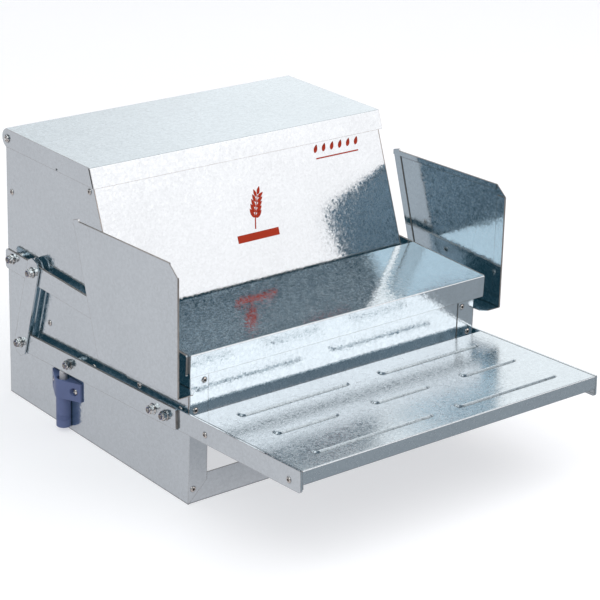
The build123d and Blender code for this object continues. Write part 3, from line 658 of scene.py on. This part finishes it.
def rectangle(middle_x, middle_y, length, width):
    half_length, half_width = length / 2, width / 2
    corners = ((-1, -1), (1, -1), (1, 1), (-1, 1))
    return [(middle_x + x * half_length, middle_y + y * half_width) for x, y in corners]


def seed_shape(foot, heading_angle, length, width, steps=14):
    """Outline of a seed that starts at its foot and is fullest nearer to it."""
    rim = []
    for side, order in ((1, range(steps + 1)), (-1, range(steps - 1, 0, -1))):
        for step in order:
            along = step / steps
            rim.append((length * along, -side * width / 2 * math.sin(math.pi * along ** 0.8) ** 0.8))
    cos, sin = math.cos(heading_angle), math.sin(heading_angle)
    return [(foot[0] + x * cos - y * sin, foot[1] + x * sin + y * cos) for x, y in rim]


def stem_point(along):
    """Point and heading on the sprig's stem, which leans to the right as it rises."""
    angle = math.radians(90 - STEM_LEAN - STEM_BEND * along)
    chord = math.radians(STEM_LEAN + STEM_BEND * along / 2)
    x = STEM_FOOT[0] + STEM_LENGTH * along * math.sin(chord)
    y = STEM_FOOT[1] + STEM_LENGTH * along * math.cos(chord)
    return x, y, angle


def sprig():
    """Stem with pairs of grains that grow smaller towards its tip, and one grain on top."""
    shapes = []
    left, right = [], []
    for step in range(STEM_STEPS + 1):
        x, y, angle = stem_point(step / STEM_STEPS * STEM_SHOWN)
        half = STEM_HALF - STEM_TAPER * step / STEM_STEPS
        left.append((x - half * math.sin(angle), y + half * math.cos(angle)))
        right.append((x + half * math.sin(angle), y - half * math.cos(angle)))
    for step in range(STEM_STEPS):
        shapes.append([right[step], right[step + 1], left[step + 1], left[step]])
    for pair in range(GRAIN_PAIRS):
        x, y, angle = stem_point(GRAIN_FIRST + GRAIN_STEP * pair)
        length, width = GRAIN[0] - GRAIN_SHRINK[0] * pair, GRAIN[1] - GRAIN_SHRINK[1] * pair
        for side in (-1, 1):
            foot = (x - side * GRAIN_ASIDE * math.sin(angle), y + side * GRAIN_ASIDE * math.cos(angle))
            shapes.append(seed_shape(foot, angle + side * GRAIN_SPREAD, length, width))
    x, y, angle = stem_point(GRAIN_TOP)
    shapes.append(seed_shape((x, y), angle, GRAIN[0] - 2, GRAIN[1] - 0.8))
    return shapes


def seed_row():
    """Equal seeds in a row, all leaning the same way."""
    first, last, height = SEED_ROW
    shapes = []
    for order in range(SEEDS):
        x = first + (last - first) * order / (SEEDS - 1)
        foot = (x - SEED[0] / 2 * math.cos(SEED_LEAN), height - SEED[0] / 2 * math.sin(SEED_LEAN))
        shapes.append(seed_shape(foot, SEED_LEAN, *SEED))
    return shapes


def hopper_front_plane():
    """Matrix of the hopper's leaning outer face: X to the right, Y up the slope from its foot, Z outwards."""
    panel = NODES["hopper_front_panel"].data
    leaning = [face for face in panel.polygons if face.normal.y < -0.5 and face.normal.z > 0.2]
    largest = max(leaning, key=lambda face: face.area)
    normal = largest.normal.normalized()
    right = Vector((1, 0, 0))
    up = normal.cross(right)
    on_face = [
        panel.vertices[index].co for face in leaning for index in face.vertices
        if (panel.vertices[index].co - largest.center).dot(normal) > -0.05 * MM
    ]
    foot = min(on_face, key=up.dot)
    origin = foot - right * foot.x
    return Matrix.Translation(origin) @ Matrix((right, up, normal)).transposed().to_4x4()


def print_ornament(ink):
    """Every outline of the print as a thin closed solid on the hopper's face."""
    plane = hopper_front_plane() @ Matrix.Scale(MM, 4)
    parts = []
    for outline in [rectangle(*PRINT_BAR), rectangle(*SEED_LINE)] + sprig() + seed_row():
        count = len(outline)
        points = [Vector((x, y, z)) for z in (PRINT_GAP, PRINT_GAP + PRINT_THICK) for x, y in outline]
        faces = [list(range(count - 1, -1, -1)), list(range(count, 2 * count))]
        faces += [(step, (step + 1) % count, count + (step + 1) % count, count + step) for step in range(count)]
        parts.append((points, faces, plane))
    new_piece("hopper_print", parts, ink, "feeder_body")


# ---- studio ----
SOFTBOX_PLACE = (0.5, -0.9, 2.6)
SOFTBOX_SIDE = 2.6
SOFTBOX_POWER = 45

# each soft light of the room: azimuth and elevation of its middle, radius of its full part and of its
# edge, all in degrees, and its colour; azimuth 0 is in front of the feeder and 90 to its right
ROOM_LIGHTS = [
    (-165, 35, 9, 16, (1.5, 1.5, 1.5)),
    (-95, 28, 8, 15, (1.3, 1.3, 1.3)),
    (-120, 62, 8, 15, (1.5, 1.5, 1.5)),
    (86, 55, 8, 11, (1.1, 1.1, 1.1)),
    (110, 52, 9, 14, (1.2, 1.2, 1.2)),
    (128, 17, 6, 34, (1.17, 1.17, 1.17)),
    (-67, 47, 15, 38, (1.42, 1.46, 1.48)),
    (34, 18, 17, 33, (1.38, 1.27, 1.24)),
    (38, 33, 7, 18, (2.10, 1.93, 1.87)),
]
# the dark rest of the room is dim with lit patches
ROOM_DIM = (0.01, 0.022, 0.034)
ROOM_LIT = (0.48, 0.58, 0.68)
ROOM_PATCHES = 20.0
ROOM_EDGES = (0.53, 0.59)
# the backdrop that the eye sees
ROOM_SEEN = (0.93, 0.935, 0.945)


def make_floor():
    mesh = bpy.data.meshes.new("floor")
    corners = [(x * FLOOR_HALF, y * FLOOR_HALF, 0) for x, y in ((-1, -1), (1, -1), (1, 1), (-1, 1))]
    mesh.from_pydata(corners, [], [(0, 1, 2, 3)])
    floor = bpy.data.objects.new("floor", mesh)
    floor.location.z = -FLOOR_DROP
    mesh.materials.append(studio_floor("floor_paint"))
    bpy.context.scene.collection.objects.link(floor)


def make_softbox():
    """Large light overhead, for the soft shadows; the metal doesn't show it."""
    data = bpy.data.lights.new("top_softbox", "AREA")
    data.shape = "RECTANGLE"
    data.size = data.size_y = SOFTBOX_SIDE
    data.energy = SOFTBOX_POWER
    light = bpy.data.objects.new("top_softbox", data)
    light.location = SOFTBOX_PLACE
    light.rotation_euler = (-Vector(SOFTBOX_PLACE)).to_track_quat("-Z", "Y").to_euler()
    light.visible_glossy = False
    light.visible_camera = False
    bpy.context.scene.collection.objects.link(light)


def heading(azimuth, elevation):
    """Unit direction; azimuth 0 is -Y, 90 is +X."""
    azimuth, elevation = math.radians(azimuth), math.radians(elevation)
    flat = math.cos(elevation)
    return Vector((math.sin(azimuth) * flat, -math.cos(azimuth) * flat, math.sin(elevation)))


def soft_light(tree, place, room, azimuth, elevation, inner, outer, colour):
    """Lay one round soft light over the room so far."""
    link = tree.links.new
    towards = tree.nodes.new("ShaderNodeVectorMath")
    towards.operation = "DOT_PRODUCT"
    link(place, towards.inputs[0])
    towards.inputs[1].default_value = heading(azimuth, elevation)
    fade = tree.nodes.new("ShaderNodeMapRange")
    fade.interpolation_type = "SMOOTHSTEP"
    link(towards.outputs["Value"], fade.inputs["Value"])
    fade.inputs["From Min"].default_value = math.cos(math.radians(outer))
    fade.inputs["From Max"].default_value = math.cos(math.radians(inner))
    lit = tree.nodes.new("ShaderNodeMix")
    lit.data_type = "VECTOR"
    link(fade.outputs[0], lit.inputs["Factor"])
    before, after = [socket for socket in lit.inputs if socket.type == "VECTOR" and socket.name in "AB"]
    link(room, before)
    after.default_value = colour
    return [socket for socket in lit.outputs if socket.type == "VECTOR"][0]


def make_world():
    """Dim room with broad soft lights, which the metal reflects; the eye sees a plain pale backdrop."""
    world = bpy.data.worlds.new("studio")
    bpy.context.scene.world = world
    world.use_nodes = True
    tree = world.node_tree
    tree.nodes.clear()
    link = tree.links.new
    output = tree.nodes.new("ShaderNodeOutputWorld")
    place = tree.nodes.new("ShaderNodeTexCoord").outputs["Generated"]
    clutter = tree.nodes.new("ShaderNodeTexNoise")
    clutter.inputs["Scale"].default_value = ROOM_PATCHES
    clutter.inputs["Detail"].default_value = 2.0
    link(place, clutter.inputs["Vector"])
    uneven = tree.nodes.new("ShaderNodeValToRGB")
    for element, position, colour in zip(uneven.color_ramp.elements, ROOM_EDGES, (ROOM_DIM, ROOM_LIT)):
        element.position = position
        element.color = rgba(colour)
    link(clutter.outputs["Fac"], uneven.inputs[0])
    room = uneven.outputs[0]
    for light in ROOM_LIGHTS:
        room = soft_light(tree, place, room, *light)
    reflected = tree.nodes.new("ShaderNodeBackground")
    link(room, reflected.inputs[0])
    seen = tree.nodes.new("ShaderNodeBackground")
    seen.inputs[0].default_value = rgba(ROOM_SEEN)
    choose = tree.nodes.new("ShaderNodeMixShader")
    link(tree.nodes.new("ShaderNodeLightPath").outputs["Is Camera Ray"], choose.inputs[0])
    link(reflected.outputs[0], choose.inputs[1])
    link(seen.outputs[0], choose.inputs[2])
    link(choose.outputs[0], output.inputs[0])


def make_camera():
    """Long lens at the photograph's angle, rolled a little about its own axis."""
    data = bpy.data.cameras.new("camera")
    data.lens = CAMERA_LENS
    data.sensor_width = 36.0
    data.shift_x, data.shift_y = CAMERA_SHIFT
    data.clip_start = 0.05
    data.clip_end = 60.0
    azimuth, elevation = math.radians(CAMERA_AZIMUTH), math.radians(CAMERA_ELEVATION)
    forward = Vector((
        -math.sin(azimuth) * math.cos(elevation), math.cos(azimuth) * math.cos(elevation), -math.sin(elevation),
    ))
    right = forward.cross(Vector((0, 0, 1))).normalized()
    up = right.cross(forward)
    roll = Matrix.Rotation(math.radians(CAMERA_ROLL), 4, "Z")
    turn = Matrix((right, up, -forward)).transposed().to_4x4() @ roll
    camera = bpy.data.objects.new("camera", data)
    camera.matrix_world = Matrix.Translation(CAMERA_PLACE) @ turn
    bpy.context.scene.collection.objects.link(camera)
    bpy.context.scene.camera = camera


make_world()
make_floor()
make_softbox()
make_camera()
finish_cad_nodes()
edge_metal = cut_edge("cut_edge")
for sheet_node in FOLDED_SHEETS:
    raw_edges(sheet_node, edge_metal)
bpy.context.scene.view_settings.view_transform = "Standard"
